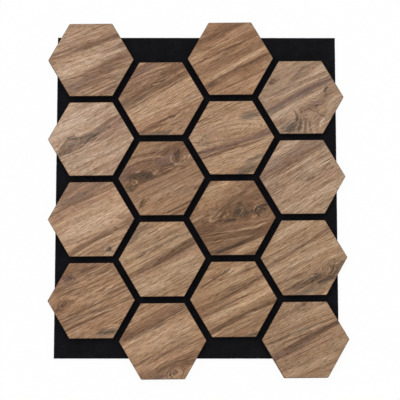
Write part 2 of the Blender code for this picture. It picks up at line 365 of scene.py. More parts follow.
# marks: from x, y to x, y, width, shade, strength and, where a mark is bowed, its bow
# knots: x, y, radius, stretch, darkness
# Each mark covers the ones written before it.
tileFigures = {
    (1, 1): {"tilt": 21, "tone": "tan", "wash": (1.13, 1.16, 1.25), "rings": 0.7, "knots": [], "marks": [
        (-70, 34, 10, 62, 12, "sand", 0.6), (-66, 19, 30, 49, 3, "sand", 0.9),
        (-66, 24, 30, 57, 3, "brown", 0.9), (-40, 50, 20, 66, 3, "rose", 0.6),
        (-30, 52, 40, 68, 4, "brown", 0.3), (-90, -27, 90, 37, 32, "sand", 0.95),
        (-90, -40, 10, -4, 22, "sand", 0.9), (-74, -32, 4, 2, 15, "pale", 0.45),
        (-60, -16, 60, 28, 7, "pale", 0.35), (-70, -6, 10, 20, 2.5, "tan", 0.7),
        (-66, -14, 30, 20, 2.5, "tan", 0.5), (-84, -2, 72, 54, 15, "brown", 0.9),
        (-30, 17, 66, 52, 7, "umber", 0.6), (-50, 10, 66, 45, 3, "umber", 0.4),
        (-78, 8, -30, 22, 8, "plum", 0.45), (50, 24, 84, 38, 13, "brown", 0.7),
        (50, 9, 84, 21, 8, "brown", 0.6), (-40, -11, 16, 8, 4, "tan", 0.6),
        (-100, -72, 100, 12, 18, "brown", 0.8), (-60, -74, 50, -26, 20, "brown", 0.5),
        (-30, -38, 90, 20, 11, "brown", 0.85), (-20, -28, 74, 10, 4, "umber", 0.4),
        (-14, -38, 60, -6, 11, "umber", 0.45), (-62, -66, 6, -35, 15, "plum", 0.5),
        (40, -4, 84, 14, 14, "brown", 0.6), (-36, -68, 76, -19, 2.5, "sand", 0.6),
        (-10, -70, 76, -32, 3, "sand", 0.9), (-40, -62, 60, -18, 2, "umber", 0.6),
        (-20, -72, 76, -27, 2.5, "umber", 0.8), (14, -66, 70, -40, 14, "brown", 0.9),
        (8, -66, 54, -45, 6, "umber", 0.5), (24, 15, 84, 38, 16, "brown", 0.4),
        (-20, 50, 20, 58, 6, "brown", 0.4), (-70, 14, -36, 24, 5, "sand", 0.5),
        (-58, -52, -16, -32, 9, "tan", 0.8), (20, 0, 84, 24, 6, "brown", 0.5),
        (-78, 3, -34, 15, 4, "sand", 0.5)]},
    (1, 2): {"tilt": 31, "tone": "sand", "wash": (1.08, 1.12, 1.23), "rings": 0.6,
             "knots": [(-34, -12, 9, 1.6, 0.0)], "marks": [
        (-70, 14, 30, 60, 34, "pale", 0.65), (-30, 56, 40, 80, 8, "tan", 0.4),
        (-60, 26, 0, 54, 4, "rose", 0.5), (-16, 38, 34, 60, 10, "brown", 0.4),
        (10, 46, 50, 64, 8, "pale", 0.5), (-90, -8, -30, 14, 12, "pale", 0.6),
        (-10, -6, 84, 50, 24, "rose", 0.8), (-4, 0, 72, 44, 20, "plum", 0.3),
        (-6, 4, 60, 50, 4, "umber", 0.35), (6, 4, 66, 44, 4, "umber", 0.4),
        (20, 24, 60, 52, 3, "slate", 0.3), (10, 10, 36, 26, 10, "olive", 0.5),
        (-10, -9, 80, 32, 9, "brown", 0.5), (0, -8, 80, 24, 5, "brown", 0.6),
        (20, -6, 80, 20, 3, "rose", 0.4), (26, -6, 84, 20, 4, "umber", 0.5),
        (-66, -30, 12, 13, 21, "olive", 0.7, 5), (-54, -24, -6, -6, 13, "plum", 0.35, 3),
        (-63, -29, -38, 6, 6, "slate", 0.45, 6), (-40, -3, 16, 9, 5, "slate", 0.4, -1),
        (-46, -1, -26, 4, 7, "slate", 0.6), (-17, -8, 12, 4, 9, "slate", 0.5),
        (-52, -24, -30, -7, 3, "slate", 0.5, 4), (-34, -24, -12, -10, 2.5, "slate", 0.4, 3),
        (-44, -24, -20, -9, 2.5, "umber", 0.8, 4), (-38, -20, -14, -8, 2.5, "sand", 0.6, 2),
        (-56, -26, -46, -16, 7, "tan", 0.6), (-64, -39, 20, -2, 3, "pale", 0.5),
        (-64, -42, 18, -5, 2.5, "umber", 0.6), (-60, -46, 76, 8, 5, "tan", 0.7),
        (-40, -62, 80, -4, 4, "brown", 0.5), (-50, -56, 70, -2, 3, "pale", 0.5),
        (-30, -50, 60, -8, 7, "pale", 0.4), (-10, -70, 70, -26, 12, "tan", 0.9),
        (20, -66, 66, -36, 12, "rose", 0.7), (-12, 26, 56, 54, 5, "brown", 0.5),
        (20, 17, 54, 36, 5, "tan", 0.5), (44, 4, 84, 18, 6, "brown", 0.45),
        (-14, -38, 20, -28, 4, "brown", 0.4), (-58, -26, -42, -16, 6, "tan", 0.4),
        (-2, -2, 18, 6, 4, "tan", 0.5), (-10, 34, 34, 56, 6, "brown", 0.35)]},
    (1, 3): {"tilt": 28, "tone": "sand", "wash": (1.06, 1.04, 1.05), "rings": 0.5,
             "knots": [(31, -55, 4, 1.2, 0.3)], "marks": [
        (-84, 26, 50, 92, 52, "plum", 0.75), (-62, 24, -6, 52, 16, "olive", 0.35),
        (-50, 34, -10, 64, 5, "rose", 0.6), (-36, 30, 30, 60, 3, "umber", 0.2, 3),
        (-46, 46, 10, 72, 3, "rose", 0.6), (16, 52, 50, 70, 9, "brown", 0.7),
        (-56, 20, 40, 58, 2.5, "umber", 0.2), (-84, 2, 66, 72, 6, "brown", 0.7),
        (-84, -6, 66, 60, 10, "rose", 0.95), (-66, -12, 60, 46, 2.5, "pale", 0.6),
        (-60, -20, 66, 36, 2.5, "tan", 0.4), (-70, -38, 70, 26, 28, "pale", 0.6),
        (-40, -40, 60, 2, 5, "tan", 0.3), (-70, -46, 60, 8, 6, "pale", 0.5),
        (46, 2, 84, 6, 10, "brown", 0.6), (-70, -84, 90, 10, 11, "brown", 0.9),
        (40, -22, 90, 0, 11, "brown", 0.8), (-44, -70, 30, -27, 5, "umber", 0.5),
        (-70, -60, 70, -4, 3, "umber", 0.5), (-20, -70, 76, -26, 18, "tan", 0.85),
        (-10, -66, 60, -34, 3, "brown", 0.6), (22, -57, 58, -40, 9, "pale", 0.6),
        (-16, -50, 50, -23, 4, "umber", 0.6), (14, -62, 44, -50, 14, "olive", 0.4),
        (8, -70, 34, -58, 3, "umber", 0.6), (25, -59, 37, -53, 8, "slate", 1.0),
        (30, -54, 46, -49, 3, "umber", 0.6), (-14, 18, 40, 40, 8, "brown", 0.3),
        (28, -22, 64, -8, 4, "sand", 0.6), (38, -62, 54, -50, 8, "brown", 0.6),
        (-84, -12, -50, 2, 6, "brown", 0.5), (-40, -42, 36, -18, 5, "sand", 0.4)]},
    (1, 4): {"tilt": 29, "tone": "tan", "wash": (1.04, 1.0, 0.99), "rings": 1.0,
             "knots": [(-50, -8, 11, 1.3, 0.0)], "marks": [
        (-90, 20, 30, 84, 50, "brown", 0.8), (-76, 12, -20, 36, 10, "umber", 0.6),
        (-20, 52, 12, 66, 8, "umber", 0.7), (-8, 62, 16, 68, 4, "sand", 0.3),
        (10, 50, 50, 70, 14, "umber", 0.4), (-36, 34, 30, 66, 2.5, "sand", 0.6, 4),
        (-50, 22, 40, 62, 2.5, "umber", 0.7, 3), (-56, 14, 44, 58, 2.5, "sand", 0.6, 3),
        (-60, 8, 54, 52, 2.5, "umber", 0.6, 2), (-50, 4, 56, 46, 2.5, "umber", 0.4, 2),
        (-66, -20, 40, 28, 16, "tan", 0.5), (-34, 0, 60, 44, 5, "sand", 0.4),
        (-20, -8, 20, 10, 6, "sand", 0.5), (-53, 36, -31, 46, 20, "plum", 1.0),
        (-50, 37, -30, 46, 13, "slate", 0.45), (-44, 46, -34, 38, 4, "slate", 0.5),
        (-34, 46, -20, 52, 6, "tan", 0.9), (-66, -18, -36, 0, 18, "brown", 0.9),
        (-60, -14, -45, -5, 9, "umber", 0.9), (-56, -11, -50, -8, 4, "slate", 1.0),
        (-64, -6, -44, 4, 2.5, "umber", 0.7, 4), (-66, -20, -44, -17, 2.5, "umber", 0.8, -4),
        (-46, -2, -30, 3, 3, "umber", 0.9, 2), (-58, -14, -44, -12, 2, "tan", 0.7, -2),
        (22, 17, 42, 27, 6, "sand", 0.9), (8, 15, 28, 22, 3, "umber", 0.8), (24, 9, 80, 32, 6, "umber", 0.7),
        (-66, -40, 80, 25, 3.5, "umber", 0.9), (-60, -46, 90, 20, 2.5, "sand", 0.8),
        (-66, -54, 84, 14, 2.5, "umber", 0.8), (-60, -58, 84, 10, 3, "sand", 0.4),
        (-66, -66, 90, 12, 6, "umber", 0.9), (-40, -60, 66, -10, 2.5, "rose", 0.7),
        (-30, -62, 66, -18, 6, "rose", 0.6), (-20, -37, 84, 5, 5, "sand", 0.8),
        (-62, -45, 36, -7, 4, "umber", 0.6), (-50, -70, 0, -50, 7, "sand", 0.6),
        (8, -61, 54, -54, 14, "olive", 0.9, 2), (12, -60, 46, -57, 5, "slate", 0.6, 1),
        (16, -55, 40, -53, 2.5, "plum", 0.7, 2), (20, -47, 52, -43, 4, "sand", 0.8, 4),
        (26, -51, 48, -49, 2.5, "sand", 0.7, 3), (20, 16, 34, 22, 3, "umber", 0.5),
        (-6, -27, 46, -9, 4, "umber", 0.5), (-10, -20, 40, -2, 3, "sand", 0.4),
        (-30, -34, 24, -18, 3, "sand", 0.6), (-74, -30, -30, -12, 6, "tan", 0.5)]},
    (2, 1): {"tilt": 29, "tone": "tan", "wash": (1.1, 1.07, 1.07), "rings": 0.6, "knots": [], "marks": [
        (-90, 4, 60, 92, 44, "brown", 0.9), (-66, 38, 0, 70, 18, "plum", 0.8),
        (-10, 38, 60, 70, 14, "umber", 0.6), (-40, 42, 20, 66, 2.5, "sand", 0.8),
        (-56, 28, -10, 46, 2.5, "sand", 0.6), (-50, 20, 20, 50, 2.5, "rose", 0.5),
        (-60, 34, 0, 60, 2.5, "rose", 0.7), (-84, -16, 66, 56, 15, "umber", 0.65),
        (-60, 6, 30, 46, 2.5, "umber", 0.6), (-74, -16, -20, 8, 14, "olive", 0.6),
        (-20, 27, 12, 37, 3.5, "umber", 1.0, 2), (-14, 24, 6, 30, 2.5, "umber", 0.7, -2),
        (-16, 26, 3, 31, 3, "sand", 0.9), (-90, -52, 90, 45, 33, "sand", 1.0),
        (-50, -10, 70, 44, 7, "sand", 0.8), (-60, -20, 60, 46, 4, "umber", 0.7),
        (-60, -26, 70, 32, 6, "pale", 0.4), (-50, -26, 66, 26, 2.5, "tan", 0.7),
        (-60, -46, 84, 13, 5, "pale", 0.6), (10, -22, 84, 6, 4, "pale", 0.8),
        (12, -14, 60, 3, 3.5, "umber", 0.5), (-50, -48, 80, 8, 2.5, "brown", 0.6),
        (-66, -66, 60, -16, 12, "rose", 0.7), (-50, -68, 14, -45, 6, "umber", 0.8),
        (-40, -50, 20, -28, 3, "tan", 0.6), (4, -58, 60, -42, 20, "tan", 0.9),
        (-24, -50, 30, -32, 3, "umber", 0.9), (16, -35, 60, -42, 3, "umber", 0.3, 7),
        (36, -41, 54, -39, 8, "sand", 0.5), (14, -37, 28, -33, 4, "slate", 0.7),
        (30, -24, 80, -6, 4, "brown", 0.6), (14, -46, 50, -52, 2.5, "brown", 0.5, 6),
        (18, -52, 44, -58, 2.5, "brown", 0.4, 5), (-34, -56, 14, -39, 7, "umber", 0.5),
        (-40, -70, 18, -62, 9, "olive", 0.9), (-10, -64, 8, -61, 4, "slate", 0.3),
        (16, 44, 60, 62, 7, "umber", 0.5), (-18, 28, 4, 33, 3, "umber", 0.6),
        (-30, -39, 50, -15, 4, "sand", 0.6), (10, -34, 38, -28, 4, "umber", 0.4),
        (-30, 2, 10, 14, 4, "tan", 0.5)]},
    (2, 2): {"tilt": 31, "tone": "tan", "wash": (0.96, 0.92, 0.91), "rings": 1.0,
             "knots": [(-34, 4, 8, 2.2, 0.0), (28, 40, 11, 1.2, 0.0)], "marks": [
        (-90, -12, 66, 66, 46, "brown", 0.9), (-66, 30, 10, 46, 4, "sand", 0.6, 7),
        (-66, 24, 4, 39, 3.6, "umber", 0.8, 7), (-66, 38, 16, 54, 3.6, "umber", 0.7, 6),
        (-56, 47, 20, 62, 3, "sand", 0.7, 4), (-40, 56, 30, 72, 3, "umber", 0.5, 3),
        (-60, -62, 70, 4, 26, "sand", 0.25), (-70, -44, 80, 28, 6, "rose", 0.5),
        (-50, -30, 70, 26, 2.5, "umber", 0.6), (-50, -38, 60, 6, 2.5, "sand", 0.6),
        (-40, -40, 76, 16, 2.5, "umber", 0.6), (-30, -44, 76, 4, 3, "sand", 0.6),
        (-20, -48, 76, -4, 2.5, "umber", 0.6), (-30, -74, 70, -24, 10, "tan", 0.8),
        (20, -28, 60, -14, 8, "umber", 0.5), (34, -20, 80, -3, 6, "sand", 0.9),
        (56, -20, 84, -10, 5, "umber", 0.6), (-10, -58, 70, -20, 2.5, "sand", 0.5),
        (0, -68, 70, -36, 4, "umber", 0.9), (16, -70, 66, -47, 4, "umber", 0.9),
        (-20, -68, 60, -34, 2.5, "sand", 0.7), (-12, 22, 24, 42, 24, "plum", 0.95),
        (-4, 18, 22, 40, 9, "umber", 0.75, 2), (-84, 2, -40, 14, 22, "plum", 0.9),
        (-70, -24, 42, 25, 6, "umber", 0.9, -4), (-40, -2, 30, 26, 3, "umber", 0.6),
        (-64, 2, -8, 8, 17, "slate", 0.85, 3), (-44, -6, -16, 4, 9, "slate", 0.4),
        (-49, 11, -39, 14, 4, "sand", 0.8), (-17, 8, -4, 12, 7, "sand", 1.0),
        (-62, -20, -44, -9, 20, "slate", 0.4), (-58, -9, -42, -5, 12, "tan", 0.65),
        (-60, 2, -56, -15, 3, "slate", 0.6, -3), (-63, -12, -52, -28, 7, "slate", 0.4),
        (-57, -15, -42, -15, 4, "slate", 0.6, -2), (-53, -7, -47, -6, 4, "umber", 0.5),
        (-68, -26, -46, -18, 9, "slate", 0.45), (-42, -55, -26, -35, 11, "umber", 1.0, 2),
        (-38, -52, -31, -40, 5, "slate", 0.8), (-34, -44, -27, -38, 3, "tan", 0.9),
        (-46, -66, -12, -56, 9, "sand", 0.7), (-38, -50, -26, -45, 4, "tan", 0.7),
        (0, 50, 44, 66, 14, "umber", 0.5), (4, 40, 18, 56, 5, "umber", 0.7, -3),
        (27, 30, 31, 54, 10, "slate", 0.95), (8, 30, 19, 50, 8, "plum", 0.8),
        (21, 44, 27, 48, 6, "slate", 1.0), (34, 44, 40, 49, 5, "slate", 0.6),
        (24, 24, 12, 41, 4.5, "sand", 0.6, 7), (-3, 8, 22, 19, 5, "umber", 0.7),
        (28, 24, 46, 22, 4, "umber", 0.8, 2), (22, 27, 40, 27, 5, "sand", 0.9),
        (35, 36, 54, 44, 8, "sand", 0.8), (20, 8, 60, 30, 3, "umber", 0.6, -5),
        (44, 31, 48, 19, 3, "umber", 0.7, 14), (39, 27, 42, 17, 2.5, "umber", 0.7, 11),
        (51, 34, 55, 20, 2.5, "brown", 0.7, 15), (6, 22, 24, 29, 5, "slate", 0.5),
        (46, 30, 66, 38, 10, "umber", 0.5), (-14, 7, -4, 11, 4, "umber", 0.5),
        (-6, -36, 40, -24, 6, "sand", 0.6), (32, -20, 48, -14, 4, "umber", 0.5),
        (14, 26, 32, 33, 7, "slate", 0.5), (-64, -16, -52, -8, 6, "tan", 0.5)]},
    (2, 3): {"tilt": 29, "tone": "tan", "wash": (1.1, 1.12, 1.12), "rings": 0.7, "knots": [], "marks": [
        (-84, 24, -20, 62, 20, "plum", 0.7), (-70, 22, 60, 84, 6, "tan", 0.6),
        (-50, 34, 50, 76, 4, "sand", 0.8), (-44, 38, -4, 57, 6, "sand", 0.9),
        (-56, 40, -20, 52, 3, "slate", 0.3, 2), (-20, 34, 66, 68, 4, "brown", 0.6),
        (-90, -10, 60, 58, 9, "sand", 0.6), (-72, -6, 66, 58, 3, "umber", 0.5),
        (-30, 22, 40, 56, 5, "umber", 0.5), (-50, 1, -28, 13, 3, "slate", 0.9),
        (-26, 46, -6, 55, 4, "umber", 0.6), (-24, 13, 4, 26, 2.5, "slate", 0.5),
        (-84, -22, 66, 50, 7, "sand", 0.45), (-60, -16, 60, 42, 3, "olive", 0.6),
        (-96, -52, 96, 54, 17, "brown", 1.0), (-66, -32, 20, 12, 5, "umber", 0.7),
        (-20, -16, 56, 20, 5, "umber", 0.7), (-20, -10, 76, 42, 12, "umber", 0.65),
        (-70, -40, 50, 22, 3.5, "umber", 0.95), (-84, -52, 96, 32, 10, "rose", 0.8),
        (-60, -46, 84, 18, 3, "sand", 0.6), (-60, -48, 84, 12, 12, "sand", 0.6),
        (-50, -48, 80, 8, 2.5, "brown", 0.5), (-60, -60, 70, -8, 14, "sand", 0.7),
        (-50, -58, 30, -26, 3, "olive", 0.3), (-50, -66, 20, -42, 12, "pale", 0.5),
        (0, -68, 60, -44, 10, "brown", 0.3), (-48, 8, 34, 44, 5, "umber", 0.5),
        (-44, 44, -18, 58, 7, "sand", 0.5), (42, -28, 84, -9, 12, "sand", 0.7),
        (-20, -14, 26, 3, 3, "umber", 0.4), (-72, -37, -44, -22, 9, "brown", 0.8),
        (-78, -2, -62, 6, 5, "sand", 0.6)]},
    (2, 4): {"tilt": 29, "tone": "tan", "wash": (1.08, 1.05, 1.03), "rings": 0.7,
             "knots": [(24, -57, 11, 1.15, 0.0)], "marks": [
        (-70, 28, 20, 78, 10, "sand", 0.8), (-60, 26, 20, 70, 4, "brown", 0.7),
        (2, 54, 36, 70, 7, "brown", 0.8), (-96, -9, 60, 80, 20, "brown", 1.0),
        (-84, -5, 52, 68, 12, "umber", 0.7), (-84, -8, 50, 58, 4, "umber", 0.55),
        (-60, 12, 20, 52, 3, "brown", 0.6), (-90, -24, 84, 50, 27, "sand", 0.85),
        (-54, 3, 8, 34, 2, "slate", 0.8), (-66, -30, 60, 24, 14, "pale", 0.3),
        (-70, -48, 90, 20, 12, "tan", 0.7), (0, -26, 84, 8, 3, "pale", 0.7),
        (-66, -50, 80, 7, 7, "brown", 0.9), (-20, -30, 80, 6, 2.5, "umber", 0.6),
        (-60, -58, 90, -4, 8, "rose", 0.8), (-66, -76, 84, -22, 26, "brown", 0.9),
        (-10, -50, 66, -30, 7, "umber", 0.8, 5), (-6, -54, 60, -36, 3, "umber", 0.8, 7),
        (0, -66, 36, -50, 18, "tan", 0.5), (16, -62, 34, -52, 12, "sand", 0.3),
        (12, -68, 14, -47, 3, "umber", 0.8, 8), (18, -63, 19, -51, 2.5, "umber", 0.9, 6),
        (38, -48, 37, -66, 2.5, "umber", 0.8, 8), (31, -50, 31, -63, 4, "sand", 0.6, 7),
        (18, -61, 27, -54, 6, "slate", 0.8), (-24, -70, 10, -61, 11, "plum", 1.0),
        (-12, -66, 8, -62, 4, "slate", 0.4), (4, -68, 11, -50, 5, "plum", 0.9, 4),
        (6, -66, 18, -58, 4, "slate", 0.5)]},
    (3, 1): {"tilt": 30, "tone": "tan", "wash": (1.07, 1.01, 0.97), "rings": 0.8, "knots": [], "marks": [
        (-84, 14, 20, 76, 26, "brown", 0.8), (-66, 26, -20, 48, 12, "umber", 0.5),
        (-30, 44, 40, 76, 6, "umber", 0.8), (-60, 24, 30, 68, 2.5, "umber", 0.6),
        (-40, 26, 30, 62, 10, "rose", 0.8), (-50, 12, -12, 34, 8, "sand", 0.4),
        (-56, 13, -26, 26, 4, "umber", 0.6), (-30, 22, 40, 58, 3, "pale", 0.5),
        (-40, 20, 30, 54, 2.5, "umber", 0.5), (0, 44, 50, 62, 8, "sand", 0.2),
        (-78, -2, -30, 12, 9, "sand", 0.7), (-84, -20, 70, 62, 14, "brown", 0.75),
        (-84, -17, -28, 6, 10, "sand", 0.7), (-76, -16, 60, 50, 2.5, "umber", 1.0),
        (-14, 12, 50, 44, 3.5, "umber", 0.9), (-44, -12, 24, 28, 6, "umber", 0.5),
        (-66, -14, 62, 31, 4, "sand", 0.6), (-66, -28, 76, 42, 3, "umber", 0.6),
        (-76, -38, 80, 36, 13, "brown", 0.6), (-50, -26, 40, 16, 2.5, "umber", 0.6),
        (-70, -42, 84, 28, 3, "sand", 0.4), (-66, -54, 90, 33, 9, "sand", 1.0),
        (-30, -33, 84, 28, 4, "pale", 0.5), (-70, -72, 96, 16, 14, "brown", 0.85),
        (-40, -47, 90, 19, 6, "umber", 0.9), (-34, -57, 84, 2, 7, "tan", 0.6),
        (-50, -57, -22, -43, 12, "umber", 0.8), (-44, -54, -31, -47, 6, "slate", 0.7),
        (-30, -74, 84, -16, 10, "rose", 0.8), (-20, -62, 76, -16, 2.5, "umber", 0.7),
        (-30, -68, 60, -28, 2.5, "sand", 0.6), (0, -72, 66, -36, 5, "sand", 0.8),
        (-42, -10, 12, 16, 4, "umber", 0.6), (-44, 8, 36, 38, 4, "sand", 0.5),
        (-34, 34, -8, 46, 6, "umber", 0.5), (20, 48, 42, 60, 5, "brown", 0.5)]},
    (3, 2): {"tilt": 21, "tone": "tan", "wash": (1.2, 1.2, 1.22), "rings": 0.9,
             "knots": [(6, 14, 16, 3.4, 0.0)], "marks": [
        (-76, 14, 30, 76, 3.5, "brown", 1.0), (-66, 26, 10, 70, 2.5, "umber", 1.0),
        (-70, 16, 0, 54, 5, "umber", 0.6), (-50, 28, 24, 70, 2.5, "umber", 0.7),
        (-70, 18, 30, 69, 2.5, "sand", 0.7), (-40, 40, 50, 70, 14, "tan", 0.5),
        (-80, 2, 0, 36, 7, "rose", 0.9), (-40, 22, 76, 36, 28, "sand", 0.6, 5),
        (16, 37, 62, 48, 16, "olive", 0.85), (24, 38, 50, 45, 7, "slate", 0.35),
        (-50, 17, 62, 33, 3, "brown", 0.7, 12), (-46, 25, 66, 41, 2.5, "olive", 0.6, 10),
        (-44, 10, 60, 24, 3, "brown", 0.5, 12), (-64, -12, -36, 12, 14, "rose", 0.6, 3),
        (-56, -26, -68, 2, 3.5, "olive", 0.8, 44), (-50, -21, -60, 1, 3, "brown", 0.9, 38),
        (-45, -17, -53, 1, 3, "olive", 0.7, 32), (-40, -13, -46, 1, 3, "brown", 0.6, 26),
        (-60, -14, 80, 12, 3, "brown", 0.7, -4), (-84, -39, 96, 21, 14, "brown", 0.85),
        (-76, -34, 6, -14, 9, "plum", 0.8), (-70, -31, -20, -19, 4, "slate", 0.4),
        (-14, -20, 84, 12, 11, "plum", 0.8), (-10, -18, 34, -7, 4, "umber", 0.7),
        (-66, -42, 24, -14, 4, "umber", 0.8), (40, -4, 84, 12, 6, "plum", 0.6),
        (-60, -50, 84, 2, 15, "sand", 0.8), (-66, -43, 66, -2, 5, "umber", 0.9),
        (-60, -48, 40, -18, 2.5, "rose", 0.8), (-60, -54, 60, -18, 2.5, "tan", 0.8),
        (-50, -62, 70, -18, 8, "sand", 0.6), (-50, -62, 50, -28, 2.5, "umber", 0.4),
        (4, -68, 50, -50, 13, "olive", 0.7), (20, -52, 66, -28, 11, "olive", 0.7),
        (10, -70, 50, -57, 11, "slate", 0.55), (30, -44, 60, -32, 3, "slate", 0.6),
        (-12, 3, 30, 12, 8, "brown", 0.45), (-60, -42, -10, -30, 3, "umber", 0.5),
        (-50, -18, -16, -9, 8, "sand", 0.4)]},
    (3, 3): {"tilt": 22, "tone": "brown", "wash": (1.0, 0.97, 0.92), "rings": 1.0,
             "knots": [(10, 12, 15, 1.8, 0.0), (49, 15, 9, 1.2, 0.0)], "marks": [
        (-76, 16, 20, 78, 44, "tan", 1.0), (-60, 40, 0, 72, 20, "sand", 0.9),
        (-48, 55, -16, 69, 9, "sand", 0.8), (-64, 14, -6, 50, 10, "sand", 0.5),
        (-60, 22, 20, 66, 3, "brown", 0.5), (-60, 12, -10, 42, 4, "rose", 0.7),
        (-30, 2, 60, 62, 28, "umber", 0.35), (20, 40, 60, 60, 10, "brown", 0.5),
        (-84, -24, 84, -2, 8, "brown", 0.7), (-30, -16, 76, -2, 5, "tan", 0.6),
        (-84, -46, 80, -16, 26, "umber", 0.5), (-70, -30, -30, -16, 10, "umber", 0.6),
        (24, -32, 66, -18, 8, "umber", 0.6), (-42, -33, 72, -11, 4, "sand", 0.35, -4),
        (10, -25, 74, -9, 5, "sand", 0.7, -2), (-60, -40, 10, -27, 2.5, "sand", 0.7, -2),
        (-66, -28, 0, -18, 2.5, "umber", 0.7, -2), (-60, -50, 40, -33, 2.5, "sand", 0.5, -2),
        (-50, -36, 60, -20, 2.5, "umber", 0.8, -3), (-60, -46, 20, -32, 2.5, "umber", 0.6, -2),
        (-44, -66, 0, -54, 8, "slate", 0.5), (-10, -74, 80, -32, 18, "tan", 1.0),
        (0, -70, 70, -38, 9, "sand", 0.9), (-30, -66, 36, -38, 7, "slate", 0.85),
        (-10, -59, 22, -46, 5, "slate", 0.8), (20, -46, 66, -26, 9, "umber", 0.6),
        (-41, -8, -26, 14, 8, "tan", 0.5, 3), (-76, -8, -50, 3, 5, "sand", 0.6),
        (-48, 6, 24, 58, 2, "brown", 0.6, 2), (-48, -8, 48, 74, 5, "umber", 0.85, 3),
        (-38, 2, 40, 64, 3, "sand", 0.3, 3), (-40, -8, -2, 26, 2.5, "sand", 0.6, 3),
        (-27, -5, 2, 36, 4, "umber", 0.9, 4), (-26, -3, -10, 22, 5, "umber", 0.8, 3),
        (-4, 28, 40, 58, 2.5, "umber", 0.6, 3), (-43, -8, -33, -3, 6, "sand", 0.6),
        (-30, -6, -22, 2, 4, "umber", 0.7), (-50, -10, -28, -11, 2.5, "umber", 0.9, -2),
        (-58, -12, -45, -7, 7, "umber", 1.0), (-30, -8, 34, 2, 8, "umber", 0.6, -2),
        (-12, -2, 34, 26, 28, "umber", 0.6), (-2, 4, 28, 12, 16, "slate", 1.0),
        (0, 8, 22, 9, 9, "slate", 0.8), (19, 3, 28, 9, 6, "slate", 0.7), (15, 6, 21, 17, 2.5, "tan", 0.5),
        (6, 22, 22, 24, 4, "slate", 0.8, 4), (3, 11, 18, 14, 5, "slate", 0.8),
        (-17, -1, -5, 9, 6, "tan", 0.6), (8, 26, 18, 27, 5, "slate", 1.0), (-16, -8, 8, -3, 7, "slate", 0.9),
        (36, 1, 54, 8, 7, "rose", 0.8), (38, 9, 60, 21, 18, "slate", 1.0),
        (42, 12, 54, 19, 12, "slate", 1.0), (33, 11, 51, 28, 3, "sand", 0.6, 5),
        (37, 7, 44, 17, 5, "slate", 0.8), (44, 10, 50, 18, 2.5, "tan", 0.7),
        (52, 22, 76, 28, 5, "slate", 0.9), (36, 36, 60, 44, 9, "olive", 0.5),
        (30, 27, 70, 44, 3, "umber", 0.6, 3), (8, 16, 18, 26, 5, "slate", 0.6),
        (38, 4, 52, 14, 5, "slate", 0.4), (22, 48, 64, 66, 12, "tan", 0.5),
        (-44, -4, 42, 67, 3.6, "umber", 0.8, 6), (-25, -2, 6, 38, 3.6, "umber", 0.8, 3),
        (-44, -8, -38, 4, 3, "sand", 0.6, 2)]},
    (3, 4): {"tilt": 28, "tone": "tan", "wash": (1.04, 1.02, 0.97), "rings": 0.8,
             "knots": [(-14, 49, 4, 1.8, 0.0)], "marks": [
        (-80, 9, 0, 67, 16, "brown", 0.7), (-66, 16, -6, 58, 4, "umber", 1.0),
        (-44, 34, -24, 46, 8, "umber", 0.6), (-60, 24, 0, 62, 2.5, "sand", 0.6),
        (-50, 16, 0, 44, 4, "sand", 0.8), (-20, 44, 60, 72, 12, "sand", 0.8),
        (-22, 44, -4, 56, 4, "slate", 0.6), (-16, 44, -6, 48, 3, "umber", 0.8),
        (-30, 32, 40, 58, 2.5, "umber", 0.6), (16, 50, 60, 69, 5, "umber", 0.7),
        (-76, -2, 66, 60, 6, "sand", 0.8), (-70, -10, 66, 52, 4, "brown", 0.8),
        (-90, -36, 90, 62, 14, "brown", 0.85), (-60, -20, 56, 43, 5, "umber", 0.8),
        (-12, 13, 28, 31, 3.5, "slate", 0.7), (0, 4, 80, 40, 6, "sand", 0.7),
        (-70, -37, 40, 14, 5, "umber", 0.8), (-66, -22, 30, 20, 2.5, "sand", 0.4),
        (-84, -44, 90, 34, 3, "rose", 0.8), (-84, -58, 90, 30, 13, "sand", 1.0),
        (-60, -48, 84, 24, 6, "pale", 0.5), (-64, -35, 16, -5, 3.5, "umber", 0.6),
        (38, -12, 84, 7, 6, "sand", 0.6), (-66, -74, 96, 8, 13, "brown", 0.9),
        (-50, -60, 80, 0, 4, "umber", 0.9), (-60, -54, 84, 8, 2.5, "umber", 0.5),
        (-60, -66, 84, -8, 2.5, "umber", 0.7), (-46, -60, 0, -43, 5, "umber", 0.8),
        (-50, -72, 76, -18, 3, "sand", 0.6), (-20, -74, 84, -26, 16, "brown", 0.7),
        (-26, -62, 60, -26, 3, "umber", 0.7), (0, -66, 60, -42, 6, "rose", 0.8),
        (16, -72, 52, -60, 9, "olive", 0.9), (26, -68, 44, -62, 4, "slate", 0.5),
        (20, 56, 44, 68, 6, "brown", 0.6), (-34, 48, -8, 60, 5, "sand", 0.5),
        (22, -30, 84, -8, 6, "sand", 0.5), (-40, 32, -16, 40, 4, "brown", 0.5)]},
    (4, 1): {"tilt": 29, "tone": "tan", "wash": (1.1, 1.16, 1.28), "rings": 0.8,
             "knots": [(-51, 29, 5, 1.4, 0.0), (10, -34, 14, 1.2, 0.0)], "marks": [
        (-70, 20, 20, 76, 26, "tan", 0.6), (-30, 40, 30, 66, 4, "brown", 0.6),
        (22, 48, 50, 62, 8, "sand", 0.8), (-40, 6, 22, 68, 9, "olive", 0.45),
        (-22, 30, 14, 64, 5, "umber", 0.4), (-20, 28, 16, 58, 2, "sand", 0.5),
        (-10, 26, 30, 58, 2.5, "umber", 0.6), (-62, 22, -38, 36, 12, "brown", 0.8),
        (-59, 24, -46, 33, 8, "umber", 1.0), (-59, 26, -47, 32, 5, "umber", 0.9),
        (-52, 29, -46, 31, 3, "tan", 0.4), (-70, -4, 60, 60, 8, "pale", 0.5),
        (-70, -2, 50, 50, 6, "brown", 0.7), (-70, -12, 50, 42, 3, "pale", 0.5),
